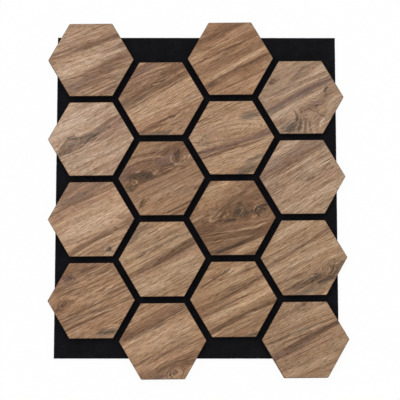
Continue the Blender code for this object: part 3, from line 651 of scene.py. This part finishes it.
        (-84, -38, 80, 48, 13, "plum", 0.85), (-30, -8, 50, 32, 8, "plum", 0.9),
        (-74, -37, -24, -13, 9, "olive", 0.8), (-50, -18, 60, 36, 2.5, "umber", 0.6),
        (30, 20, 80, 44, 3, "umber", 0.6), (-76, -48, 60, 20, 10, "sand", 1.0),
        (-60, -48, 0, -20, 12, "sand", 0.7), (-50, -40, 10, -12, 2.5, "tan", 0.7),
        (18, -24, 56, 16, 18, "plum", 0.35), (48, -24, 74, 4, 14, "sand", 0.7),
        (10, -18, 42, -6, 11, "plum", 0.6, 2), (-4, -20, 40, 2, 5, "sand", 0.4),
        (40, -12, 50, 8, 7, "umber", 0.6, -2), (36, -4, 40, -16, 3, "slate", 0.4, 2),
        (36, 0, 62, 20, 12, "olive", 0.2), (42, 8, 50, 20, 7, "slate", 0.95),
        (44, 12, 49, 18, 4, "slate", 0.8), (-84, -56, -26, -40, 10, "brown", 0.6),
        (-40, -54, 0, -40, 6, "plum", 0.8), (-10, -46, 34, -18, 26, "brown", 0.6),
        (-40, -66, 4, -46, 26, "olive", 0.8), (-28, -66, -6, -50, 14, "slate", 0.8),
        (-12, -18, 30, -13, 3, "umber", 0.35, 11), (-10, -22, 20, -17, 3, "umber", 0.7, 8),
        (0, -38, 26, -28, 14, "sand", 0.8), (2, -20, 28, -26, 2.5, "slate", 0.5, 4),
        (-6, -28, 10, -22, 2.5, "slate", 0.5, 3), (4, -31, 22, -34, 2, "brown", 0.7, 3),
        (-4, -36, 8, -28, 2, "plum", 0.6, 2), (-10, -24, -6, -50, 5, "umber", 0.8, 2),
        (6, -26, 6, -72, 14, "umber", 0.4), (0, -38, -5, -70, 4, "slate", 0.7, 1),
        (5, -44, 2, -70, 3, "pale", 0.6, 1), (9, -44, 7, -70, 2.5, "slate", 0.5, 1),
        (12, -48, 11, -70, 2.5, "sand", 0.7), (15, -42, 18, -70, 3, "slate", 0.65, -2),
        (21, -40, 25, -70, 3, "sand", 0.6), (24, -24, 44, -40, 4, "umber", 0.6, -2),
        (24, -36, 52, -36, 3, "plum", 0.6, 1), (26, -56, 36, -40, 5, "brown", 0.5),
        (33, -56, 45, -40, 8, "pale", 0.8), (-84, -6, -40, 10, 7, "brown", 0.5),
        (0, 34, 36, 58, 6, "sand", 0.5), (36, -12, 50, 6, 9, "tan", 0.5),
        (44, -34, 60, -22, 8, "sand", 0.5)]},
    (4, 2): {"tilt": 31, "tone": "tan", "wash": (1.14, 1.21, 1.32), "rings": 1.0, "knots": [], "marks": [
        (-70, 26, 0, 72, 14, "sand", 0.9), (-66, 20, 0, 56, 3, "brown", 0.6),
        (-50, 42, 0, 70, 2.5, "rose", 0.6), (-96, -12, 66, 88, 28, "plum", 0.6),
        (-84, -8, 40, 62, 18, "brown", 0.95), (-76, -5, -12, 32, 13, "umber", 0.45),
        (-66, 18, 20, 66, 2.5, "umber", 0.7), (-70, -2, 60, 66, 2.5, "umber", 0.5),
        (-84, -22, 70, 64, 4, "sand", 0.8), (-80, -26, 76, 56, 2.5, "umber", 0.6),
        (-70, -26, 80, 48, 14, "sand", 0.5), (-76, -32, 76, 44, 2.5, "brown", 0.7),
        (-76, -38, 70, 30, 2.5, "brown", 0.7), (-60, -24, 70, 38, 2.5, "pale", 0.5),
        (4, -10, 52, 18, 8, "brown", 0.8), (8, -8, 22, 2, 6, "umber", 0.5), (32, 8, 54, 27, 5, "umber", 0.5),
        (36, 6, 50, 20, 4, "rose", 0.6), (-84, -36, -30, -12, 14, "brown", 0.6),
        (-110, -40, 10, 30, 50, "brown", 0.3), (-30, -62, 110, 8, 50, "sand", 0.3),
        (-60, -48, 84, 18, 5, "rose", 0.6), (-60, -58, 84, 6, 8, "tan", 0.8),
        (-50, -54, 76, 2, 2.5, "brown", 0.6), (-50, -62, 76, -6, 2.5, "brown", 0.5),
        (-50, -68, 70, -12, 5, "sand", 0.8), (-20, -74, 70, -30, 8, "tan", 0.7),
        (-20, -66, 60, -30, 2.5, "brown", 0.5), (-90, -2, -34, 23, 20, "brown", 0.6),
        (-70, 24, -36, 44, 8, "brown", 0.5), (-62, -50, -36, -38, 8, "brown", 0.4),
        (10, -32, 62, -12, 8, "sand", 0.35), (38, 14, 66, 28, 6, "sand", 0.5),
        (38, 12, 52, 27, 5, "umber", 0.6), (8, -8, 26, 2, 4, "umber", 0.5)]},
    (4, 3): {"tilt": 30, "tone": "tan", "wash": (1.07, 1.1, 1.12), "rings": 1.0,
             "knots": [(46, -22, 10, 1.2, 0.0)], "marks": [
        (-60, 34, 40, 82, 16, "sand", 0.8), (-66, 16, 40, 70, 3, "brown", 0.4),
        (-60, 22, 30, 68, 2.5, "umber", 0.5), (-76, -4, 60, 68, 3, "umber", 0.4),
        (-70, 2, 50, 64, 4, "sand", 0.6), (-66, -6, 60, 56, 4, "sand", 0.6),
        (-60, -6, 50, 46, 2.5, "brown", 0.7), (-90, -30, 60, 60, 9, "brown", 0.8),
        (-76, -21, 44, 50, 3, "umber", 0.4), (-80, -38, 80, 40, 5, "sand", 0.8),
        (-80, -38, 80, 36, 18, "sand", 0.6), (-40, -26, 76, 32, 8, "pale", 0.2),
        (-60, -36, 70, 24, 3, "tan", 0.5), (-76, -52, 76, 14, 8, "tan", 0.7),
        (-62, -53, 0, -28, 6, "brown", 0.8), (36, -6, 74, 9, 7, "sand", 0.7),
        (-20, -40, 64, -2, 8, "brown", 0.45), (-60, -84, 84, -16, 22, "brown", 0.9),
        (-36, -62, 60, -24, 12, "umber", 0.85), (-20, -50, 20, -32, 4, "slate", 0.4),
        (8, -72, 60, -48, 10, "rose", 0.9), (20, -50, 66, -6, 30, "umber", 0.6),
        (12, -42, 32, -30, 11, "slate", 1.0), (16, -40, 28, -33, 6, "slate", 0.6),
        (28, -22, 56, -14, 5, "umber", 0.7, 4), (30, -34, 46, -18, 14, "tan", 0.7),
        (34, -34, 41, -18, 2, "umber", 0.8, -2), (38, -32, 46, -16, 2.5, "umber", 0.7, -3),
        (42, -28, 49, -16, 2.5, "sand", 0.5, -2), (48, -32, 58, -10, 6, "slate", 0.8, -3),
        (56, -34, 64, -14, 4, "slate", 0.6, -3), (50, -34, 60, -12, 2, "tan", 0.6, -4),
        (24, -47, 56, -34, 9, "slate", 0.9), (60, -20, 76, -8, 12, "olive", 0.7),
        (-20, -72, 40, -52, 10, "olive", 0.7), (34, -68, 56, -52, 9, "sand", 0.8),
        (20, 0, 84, 24, 12, "brown", 0.35), (-54, 30, 16, 62, 8, "sand", 0.4),
        (-34, -26, 28, 0, 8, "brown", 0.35), (54, -20, 80, -6, 9, "umber", 0.45)]},
    (4, 4): {"tilt": 27, "tone": "tan", "wash": (1.01, 1.02, 1.03), "rings": 0.9,
             "knots": [(-3, 65, 3, 1.4, 0.0)], "marks": [
        (-70, 26, 10, 72, 8, "brown", 0.7), (-46, 44, 2, 66, 6, "brown", 0.7),
        (-8, 61, 0, 66, 5, "umber", 1.0), (-50, 26, 50, 66, 14, "sand", 0.6),
        (-80, -2, 70, 56, 3, "umber", 0.7), (-76, -10, 70, 46, 4, "olive", 0.8),
        (-60, 12, 60, 58, 2.5, "sand", 0.5), (-70, -14, 66, 40, 3, "sand", 0.8),
        (-74, -10, -26, 7, 5, "umber", 0.8), (-66, -18, 60, 34, 2.5, "umber", 0.7),
        (-74, -16, 60, 27, 3.5, "umber", 0.6), (-84, -48, 90, 48, 15, "brown", 1.0),
        (-66, -38, 10, 0, 8, "plum", 0.7), (-40, -20, 50, 24, 8, "umber", 0.8),
        (-10, -2, 84, 42, 11, "umber", 0.7), (20, 12, 66, 34, 4, "slate", 0.3),
        (-60, -38, 60, 18, 2.5, "umber", 0.8), (-76, -56, 90, 24, 9, "rose", 0.8),
        (-60, -48, 80, 16, 2.5, "umber", 0.7), (-60, -58, 80, 6, 2.5, "umber", 0.6),
        (-50, -62, 80, -2, 12, "tan", 0.6), (-50, -54, 80, 4, 3, "sand", 0.5),
        (-30, -60, 80, -8, 2.5, "brown", 0.8), (-50, -72, 60, -26, 14, "sand", 0.6),
        (-30, -74, 60, -38, 4, "brown", 0.6), (-62, 38, -24, 56, 8, "sand", 0.4),
        (-30, 4, 12, 18, 3, "umber", 0.5), (20, 26, 70, 50, 5, "brown", 0.5),
        (-74, -20, -40, -5, 5, "sand", 0.5)]},
}


decorValues = {
    "halfAcross": 69.0,         # half of a tile's width across its flats, mm
    "rimShadeWidth": 1.3,            # painted shade along the tile's edge darkens this much of the face, mm
    # how much the painted shade along the rim darkens the face
    "paintedRimShade": 0.55,
    "driftScale": 0.035,        # the tint drifts over the tile
    "driftWindow": (0.35, 0.65),
    "warm": (1.02, 1.0, 0.965, 1.0),    # between this
    "cool": (0.98, 1.0, 1.01, 1.0),     # and this
    "roughness": (0.68, 0.50),
    "specular": 0.12,
    "poreHeight": 0.00006,
    "poreSink": 1.5,            # how much deeper the pores are than the fibres are high
}


def toGrain(x, y, tilt):
    # a point of the tile in the frame that lies along its grain
    return (x * math.cos(tilt) + y * math.sin(tilt), y * math.cos(tilt) - x * math.sin(tilt))


def addSwirls(tree, wavy):
    # cloudy swirls from 0 to 1, and pale curls that follow their outlines
    level = addNoise(tree, wavy, markValues["swirlScale"], markValues["swirlDetail"],
                     distortion=markValues["swirlTwist"])
    swirl = addRange(tree, level, *markValues["swirlWindow"], smooth=False)
    curls = addMath(tree, "SINE", addMath(tree, "MULTIPLY", level, markValues["curlCount"]))
    curls = addRange(tree, addMath(tree, "ABSOLUTE", curls), *markValues["curlWindow"],
                     markValues["curlPale"], 1.0)
    return swirl, curls


def addKnots(tree, flow, knots, tilt):
    # the grain led round the knots, and the depth inside each of them with its darkness
    depths = []
    for x, y, radius, stretch, dark in knots:
        along, across = toGrain(x, y, tilt)
        knot = addGroup(tree, knotGroup, {"Vector": flow, "Along": along, "Across": across,
                                          "Radius": float(radius), "Stretch": float(stretch)})
        flow = knot.outputs["Vector"]
        depths.append((knot.outputs["Depth"], dark))
    return flow, depths


def addMark(tree, colour, mark, tilt, wavy, lines, swirl, curls):
    # paints one mark over the colour so far; bow is an empty list for a straight mark
    x1, y1, x2, y2, width, shade, strength, *bow = mark
    (u1, v1), (u2, v2) = toGrain(x1, y1, tilt), toGrain(x2, y2, tilt)
    half = math.hypot(u2 - u1, v2 - v1) / 2
    if half < markValues["patchLength"] * width:
        edge, fray = swirl, markValues["patchFray"]
        strength = addMath(tree, "MULTIPLY", curls, strength)
    else:
        edge, fray = lines, markValues["fray"]
        strength *= markValues["thinStrength"] if width < markValues["thinWidth"] else 1.0
    node = addGroup(tree, markGroup, {
        "Colour": colour, "Vector": wavy, "Lines": edge, "Place": ((u1 + u2) / 2, (v1 + v2) / 2, 0),
        "Turn": (0, 0, math.atan2(v2 - v1, u2 - u1)), "Reach": (half, width / 2, 1),
        "Bend": 2 * sum(bow) / width, "Fray": fray, "Core": markValues["core"],
        "Shade": walnutShades[shade], "Strength": strength})
    return node.outputs["Colour"]


def addTint(tree, colour, flow, wash):
    # the tile's own tint, drifting between a warmer and a cooler one
    warm, cool = ([part * share for part, share in zip(decorValues[tint], (*wash, 1.0))]
                  for tint in ("warm", "cool"))
    drift = addRange(tree, addNoise(tree, flow, decorValues["driftScale"]), *decorValues["driftWindow"])
    return addMix(tree, 1.0, colour, addMix(tree, drift, warm, cool), "MULTIPLY")


def addFineGrain(tree, colour, grain, tileFrame):
    # the fine grain swings the colour to either side, pores darken it, and painted shade darkens it along the
    # rim
    factors = []
    for part, name in (("Bands", "bandDepth"), ("Lines", "lineDepth"), ("Fibres", "fibreDepth")):
        depth = grainValues[name]
        factors.append(addRange(tree, grain[part], 0.0, 1.0, 1 - depth / 2, 1 + depth / 2, smooth=False))
    factors.append(addRange(tree, grain["Pores"], 0.0, 1.0, 1.0, 1 - grainValues["poreDepth"], smooth=False))
    # painted shade: the face is darkened along the tile's edge
    rim = addGroup(tree, rimGroup, {"Vector": tileFrame, "Half Across": decorValues["halfAcross"],
                                    "Width": decorValues["rimShadeWidth"]}).outputs["Rim"]
    factors.append(addRange(tree, rim, 0.0, 1.0, 1.0, decorValues["paintedRimShade"]))
    swing = factors[0]
    for factor in factors[1:]:
        swing = addMath(tree, "MULTIPLY", swing, factor)
    swings = tree.nodes.new("ShaderNodeCombineColor")
    setSockets(tree, swings, {"Red": addMath(tree, "POWER", swing, grainValues["redSwing"]), "Green": swing,
                              "Blue": addMath(tree, "POWER", swing, grainValues["blueSwing"])})
    return addMix(tree, 1.0, colour, swings.outputs[0], "MULTIPLY")


def makeDecor(name, middle, fieldTurn, figure, seed):
    material, tree, shader, coords = newMaterial(name)
    tilt = math.radians(figure["tilt"])
    tileFrame = addMapping(tree, coords, middle, (0, 0, fieldTurn), (0.001, 0.001, 0.001))
    grainFrame = addMapping(tree, tileFrame, turn=(0, 0, tilt))
    wavy = addGroup(tree, waverGroup, {"Vector": grainFrame, "Seed": seed}).outputs["Vector"]
    swirl, curls = addSwirls(tree, wavy)
    flow, depths = addKnots(tree, wavy, figure["knots"], tilt)
    rings = grainValues["ringWeight"] * figure["rings"]
    grain = addGroup(tree, grainGroup, {"Vector": flow, "Rings": rings}).outputs

    colour = walnutShades[figure["tone"]]
    for mark in figure["marks"]:
        colour = addMark(tree, colour, mark, tilt, wavy, grain["Lines"], swirl, curls)
    for depth, dark in depths:
        core = addMath(tree, "MULTIPLY", addRange(tree, depth, *knotValues["coreFade"], 0.0, dark),
                       addRange(tree, swirl, *knotValues["coreMottle"]))
        colour = addMix(tree, core, colour, knotValues["core"])
    colour = addTint(tree, colour, flow, figure["wash"])
    colour = addFineGrain(tree, colour, grain, tileFrame)

    relief = addMath(tree, "SUBTRACT", grain["Fibres"],
                     addMath(tree, "MULTIPLY", grain["Pores"], decorValues["poreSink"]))
    setSockets(tree, shader, {
        "Base Color": colour, "Specular IOR Level": decorValues["specular"],
        "Roughness": addRange(tree, grain["Fibres"], 0.0, 1.0, *decorValues["roughness"]),
        "Normal": addBump(tree, relief, decorValues["poreHeight"])})
    return material


# The board under the decor

boardValues = {
    "boardCore": {"dark": paint(15, 11, 9), "light": paint(34, 26, 22), "fleck": paint(70, 56, 45),
                  "mottleScale": 900.0, "roughness": 0.75},
    "decorEdge": {"dark": paint(74, 57, 46), "light": paint(96, 76, 60), "fleck": paint(120, 98, 78),
                  "mottleScale": 700.0, "roughness": 0.55},
    "glueFilm": {"dark": paint(46, 42, 36), "light": paint(60, 55, 47), "fleck": paint(80, 75, 66),
                 "mottleScale": 300.0, "roughness": 0.4},
    "mottleDetail": 4.0,
    "mottleRoughness": 0.7,
    "mottleWindow": (0.35, 0.7),
    "fleckScale": 2600.0,
    "fleckShape": (1.0, 1.0, 0.35),     # pressed flat
    "fleckWindow": (0.66, 0.76),
    "fleckStrength": 0.4,
    "glossWindow": (0.3, 0.7),
    "roughnessSpread": 0.15,
    "bumpHeight": 0.00008,
    "specular": 0.12,
}


def makeBoard(name):
    # pressed fibre seen on its cut edge: a fine mottle with a few paler fibres
    values, look = boardValues, boardValues[name]
    material, tree, shader, coords = newMaterial(name)
    mottle = addNoise(tree, coords, look["mottleScale"], values["mottleDetail"], values["mottleRoughness"])
    flecks = addNoise(tree, addMapping(tree, coords, size=values["fleckShape"]), values["fleckScale"], 1.0)
    flecks = addRange(tree, flecks, *values["fleckWindow"])
    flecks = addMath(tree, "MULTIPLY", flecks, values["fleckStrength"])
    colour = addMix(tree, addRange(tree, mottle, *values["mottleWindow"]), look["dark"], look["light"])
    roughness = addRange(tree, mottle, *values["glossWindow"], look["roughness"],
                         look["roughness"] + values["roughnessSpread"])
    setSockets(tree, shader, {
        "Base Color": addMix(tree, flecks, colour, look["fleck"]), "Roughness": roughness,
        "Specular IOR Level": values["specular"], "Normal": addBump(tree, mottle, values["bumpHeight"])})
    return material


boardCore = makeBoard("boardCore")
decorEdge = makeBoard("decorEdge")
glueFilm = makeBoard("glueFilm")
print("board materials ready")


# Helpers for shapes

shapeValues = {
    "close": 1e-6,                      # places nearer than this are the same
    "crease": math.radians(30),         # edges sharper than this are shaded sharp
}


def isUpright(edge):
    start, end = (vert.co for vert in edge.verts)
    return (start.xy - end.xy).length < shapeValues["close"]


def edgesAt(shape, height):
    return [edge for edge in shape.edges
            if all(abs(vert.co.z - height) < shapeValues["close"] for vert in edge.verts)]


def easeEdges(shape, edges, offset, segments):
    bmesh.ops.bevel(shape, geom=edges, offset=offset, offset_type="OFFSET", segments=segments,
                    profile=0.5, affect="EDGES", material=-1)


def raiseFaces(shape, faces, height):
    made = bmesh.ops.extrude_face_region(shape, geom=faces)
    verts = [item for item in made["geom"] if isinstance(item, bmesh.types.BMVert)]
    bmesh.ops.translate(shape, vec=Vector((0, 0, height)), verts=verts)
    return [item for item in made["geom"] if isinstance(item, bmesh.types.BMFace)]


def finishPiece(name, shape, materials, crease=shapeValues["crease"]):
    bmesh.ops.remove_doubles(shape, verts=shape.verts, dist=shapeValues["close"])
    bmesh.ops.recalc_face_normals(shape, faces=shape.faces)
    mesh = bpy.data.meshes.new(name)
    shape.to_mesh(mesh)
    shape.free()
    for material in materials:
        mesh.materials.append(material)
    mesh.shade_smooth()
    mesh.set_sharp_from_angle(angle=crease)
    piece = bpy.data.objects.new(name, mesh)
    bpy.context.scene.collection.objects.link(piece)
    return piece


# Tiles

tileValues = {
    "columns": 4,
    "rows": 4,
    "sides": 6,
    "acrossFlats": 0.138,
    "thickness": 0.012,
    "decorThickness": 0.0007,
    "cornerEase": 0.0012,
    "cornerSegments": 3,
    "arris": 0.0005,
    "arrisSegments": 2,
    "backArris": 0.0003,
    "glueInset": 0.004,
    "glueThickness": 0.0003,
    "fieldTurn": math.radians(0.6),
}


def makeTile(name, middle, backZ, decor):
    # a sawn hexagon of board: dark core, the decor sheet bonded over it, and the film of glue underneath
    values = tileValues
    radius = values["acrossFlats"] / 2 / math.cos(math.pi / values["sides"])
    coreTop = values["thickness"] - values["decorThickness"]
    shape = bmesh.new()
    bmesh.ops.create_circle(shape, cap_ends=True, segments=values["sides"], radius=radius,
                            matrix=Matrix.Rotation(math.radians(90), 4, "Z"))
    top = raiseFaces(shape, list(shape.faces), coreTop)
    raiseFaces(shape, top, values["decorThickness"])
    easeEdges(shape, [edge for edge in shape.edges if isUpright(edge)], values["cornerEase"],
              values["cornerSegments"])
    easeEdges(shape, edgesAt(shape, values["thickness"]), values["arris"], values["arrisSegments"])
    easeEdges(shape, edgesAt(shape, 0), values["backArris"], 1)
    for face in shape.faces:
        height = face.calc_center_median().z
        isFace = abs(height - values["thickness"]) < shapeValues["close"]
        face.material_index = 0 if isFace else (1 if height > coreTop else 2)
    back = min(shape.faces, key=lambda face: face.calc_center_median().z)
    bmesh.ops.inset_region(shape, faces=[back], thickness=values["glueInset"])
    raiseFaces(shape, [back], -values["glueThickness"])
    for face in shape.faces:
        if face.calc_center_median().z < -shapeValues["close"]:
            face.material_index = 3
    place = Matrix.Translation((*middle, backZ)) @ Matrix.Rotation(values["fieldTurn"], 4, "Z")
    bmesh.ops.transform(shape, matrix=place, verts=shape.verts)
    return finishPiece(name, shape, [decor, decorEdge, boardCore, glueFilm])


for column in range(1, tileValues["columns"] + 1):
    for row in range(1, tileValues["rows"] + 1):
        node = f"tile_column{column}_row{row}"
        low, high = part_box(node)
        middle = ((low + high) / 2).xy
        decor = makeDecor(f"walnutDecor_{column}{row}", (*middle, 0), tileValues["fieldTurn"],
                          tileFigures[column, row], float(column * 4 + row))
        tile = makeTile(f"boardTile_{column}{row}", middle, low.z, decor)
        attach(tile, "root")
        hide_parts(node)
    print("tiles of column", column, "made")


# Felt

feltValues = {
    "gridStep": 0.004,
    "edgeRows": 4,
    "rimSoftness": 0.0008,
    "rimSegments": 2,
    "rimFold": math.radians(60),        # faces that meet at more than this have a rim between them
    "crease": math.radians(50),
    "lumpSize": 0.011,
    "fineLumps": (2.7, 0.5),            # how much finer the second lumps are, and their share
    "unevenness": 0.000132,             # how far the lumps push the sheet's faces
    "raggedness": 0.0003,               # how far its edges are bitten in
    "raggedFineness": 3,                # the bites are this much finer than the lumps
    "clouds": (60.0, 3.0, 0.6),         # noise: scale, detail, roughness
    "mat": (1300.0, 3.0, 0.75),
    "hairs": (2400.0, 1.0),
    "hairLayers": ((0.5, 3.1), (1.7, 7.7), (2.7, 12.3)),    # the turn of each and where it is taken from
    "hairShape": (6.0, 1.0, 1.0),
    "hairWindow": (0.68, 0.78),
    "hairPale": 0.35,
    "hairRise": 0.5,
    "cloudShare": 0.5,
    "matShare": 0.7,
    "shadeWindow": (0.35, 0.85),
    "glossWindow": (0.3, 0.7),
    "roughness": (0.9, 1.0),
    "bumpHeight": 0.00025,
    "dark": paint(11, 10.5, 12),
    "light": paint(25, 24, 28),
    "fibre": paint(60, 59, 66),
    "specular": 0.06,
}


def makeFeltMaterial():
    # needle-punched fibre: a soft mottle, matted hairs lying every way and a few paler ones
    values = feltValues
    material, tree, shader, coords = newMaterial("blackFelt")
    clouds = addNoise(tree, coords, *values["clouds"])
    matted = addNoise(tree, coords, *values["mat"])
    wisps = []
    for turn, start in values["hairLayers"]:
        laid = addMapping(tree, coords, (start, start, 0), (0, 0, turn), values["hairShape"])
        wisps.append(addRange(tree, addNoise(tree, laid, *values["hairs"]), *values["hairWindow"]))
    hairs = addMath(tree, "MAXIMUM", addMath(tree, "MAXIMUM", wisps[0], wisps[1]), wisps[2])
    level = addMath(tree, "MULTIPLY_ADD", clouds, values["cloudShare"],
                    addMath(tree, "MULTIPLY", matted, values["matShare"]))
    colour = addMix(tree, addRange(tree, level, *values["shadeWindow"]), values["dark"], values["light"])
    colour = addMix(tree, addMath(tree, "MULTIPLY", hairs, values["hairPale"]), colour, values["fibre"])
    relief = addMath(tree, "MULTIPLY_ADD", hairs, values["hairRise"], matted)
    setSockets(tree, shader, {
        "Base Color": colour, "Specular IOR Level": values["specular"],
        "Roughness": addRange(tree, matted, *values["glossWindow"], *values["roughness"]),
        "Normal": addBump(tree, relief, values["bumpHeight"])})
    return material


def roughen(shape, floorZ):
    # lumps push the faces up and down, and the edges are bitten in
    values = feltValues
    finer, share = values["fineLumps"]
    shape.normal_update()
    moves = []
    for vert in shape.verts:
        spot = vert.co / values["lumpSize"]
        rise = noise.noise(spot) + share * noise.noise(spot * finer)
        ragged = noise.noise(vert.co / (values["lumpSize"] / values["raggedFineness"]))
        push = Vector((0, 0, vert.normal.z * rise * values["unevenness"]))
        bite = Vector((vert.normal.x, vert.normal.y, 0)) * (-abs(ragged) * values["raggedness"])
        moves.append((vert, push + bite))
    for vert, move in moves:
        vert.co += move
        vert.co.z = max(vert.co.z, floorZ)


def makeFelt():
    # one cut sheet with softened rims, its faces gently uneven as pressed felt is
    values = feltValues
    low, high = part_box("felt_backing")
    size = high - low
    shape = bmesh.new()
    across, up = round(size.x / values["gridStep"]), round(size.y / values["gridStep"])
    bmesh.ops.create_grid(shape, x_segments=across, y_segments=up, size=0.5)
    bmesh.ops.scale(shape, vec=Vector((size.x, size.y, 1)), verts=shape.verts)
    bmesh.ops.translate(shape, vec=Vector((0, 0, low.z)), verts=shape.verts)
    raiseFaces(shape, list(shape.faces), size.z)
    rims = [edge for edge in edgesAt(shape, low.z) + edgesAt(shape, high.z)
            if edge.calc_face_angle(0) > values["rimFold"]]
    easeEdges(shape, rims, values["rimSoftness"], values["rimSegments"])
    walls = [edge for edge in shape.edges if isUpright(edge) and edge.calc_length() > size.z / 2]
    bmesh.ops.subdivide_edges(shape, edges=walls, cuts=values["edgeRows"] - 1)
    roughen(shape, low.z)
    return finishPiece("feltBacking", shape, [makeFeltMaterial()], values["crease"])


felt = makeFelt()
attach(felt, "root")
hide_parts("felt_backing")
print("felt made:", len(felt.data.polygons), "faces")


# Floor, light and camera

stageValues = {
    "floorSize": 12.0,
    "floorColour": paint(248, 248, 248),
    "floorRoughness": 0.9,
    "floorWhite": 0.95,        # how much of the camera's floor is plain white, the rest keeps the shadow
    "white": (1, 1, 1, 1),
    "worldLight": 0.62,
    "lamps": [                 # direction from, strength, how wide and so how soft
        ((-0.25, 0.30, 1.0), 0.85, 55),
        ((0.60, -0.35, 1.0), 0.35, 80),
    ],
}


def seenPlainly(tree):
    # 1 for rays from the camera, in a reflection or through glass
    path = tree.nodes.new("ShaderNodeLightPath")
    seen = addMath(tree, "MAXIMUM", path.outputs["Is Camera Ray"], path.outputs["Is Glossy Ray"])
    return addMath(tree, "MAXIMUM", seen, path.outputs["Is Transmission Ray"])


def makeFloor():
    material, tree, shader, _ = newMaterial("paleFloor")
    setSockets(tree, shader, {"Base Color": stageValues["floorColour"],
                              "Roughness": stageValues["floorRoughness"], "Specular IOR Level": 0.0})
    white = tree.nodes.new("ShaderNodeEmission")
    white.inputs["Color"].default_value = stageValues["white"]
    mix = tree.nodes.new("ShaderNodeMixShader")
    setSocket(tree, mix.inputs[0], addMath(tree, "MULTIPLY", seenPlainly(tree), stageValues["floorWhite"]))
    tree.links.new(shader.outputs[0], mix.inputs[1])
    tree.links.new(white.outputs[0], mix.inputs[2])
    tree.links.new(mix.outputs[0], tree.nodes["Material Output"].inputs["Surface"])
    shape = bmesh.new()
    bmesh.ops.create_grid(shape, x_segments=1, y_segments=1, size=stageValues["floorSize"] / 2)
    floor = finishPiece("floor", shape, [material])


def makeLight():
    world = bpy.data.worlds.new("studio")
    bpy.context.scene.world = world
    world.use_nodes = True
    tree = world.node_tree
    strength = addRange(tree, seenPlainly(tree), 0.0, 1.0, stageValues["worldLight"], 1.0, smooth=False)
    setSockets(tree, tree.nodes["Background"], {"Color": stageValues["white"], "Strength": strength})
    for number, (direction, power, spread) in enumerate(stageValues["lamps"]):
        lamp = bpy.data.lights.new(f"softLamp{number}", "SUN")
        lamp.energy = power
        lamp.angle = math.radians(spread)
        holder = bpy.data.objects.new(f"softLamp{number}", lamp)
        holder.rotation_euler = Vector(direction).to_track_quat("Z", "Y").to_euler()
        bpy.context.scene.collection.objects.link(holder)


cameraValues = {
    "place": (-0.0052, -0.4744, 3.0304),
    "aim": (0.0066, -0.0099, 0.0213),
    "lens": 148.9,
    "sensor": 36.0,
    "clip": (0.05, 60.0),
}


def makeCamera():
    # a long lens leaning back from straight above, with the panel's own Y up in the picture
    data = bpy.data.cameras.new("camera")
    data.lens = cameraValues["lens"]
    data.sensor_width = cameraValues["sensor"]
    data.clip_start, data.clip_end = cameraValues["clip"]
    camera = bpy.data.objects.new("camera", data)
    place = Vector(cameraValues["place"])
    backward = (place - Vector(cameraValues["aim"])).normalized()
    right = Vector((0, 1, 0)).cross(backward).normalized()
    upward = backward.cross(right)
    camera.matrix_world = Matrix.Translation(place) @ Matrix((right, upward, backward)).transposed().to_4x4()
    bpy.context.scene.collection.objects.link(camera)
    bpy.context.scene.camera = camera


makeFloor()
makeLight()
makeCamera()
bpy.context.scene.view_settings.view_transform = "Standard"
print("floor, light and camera ready")
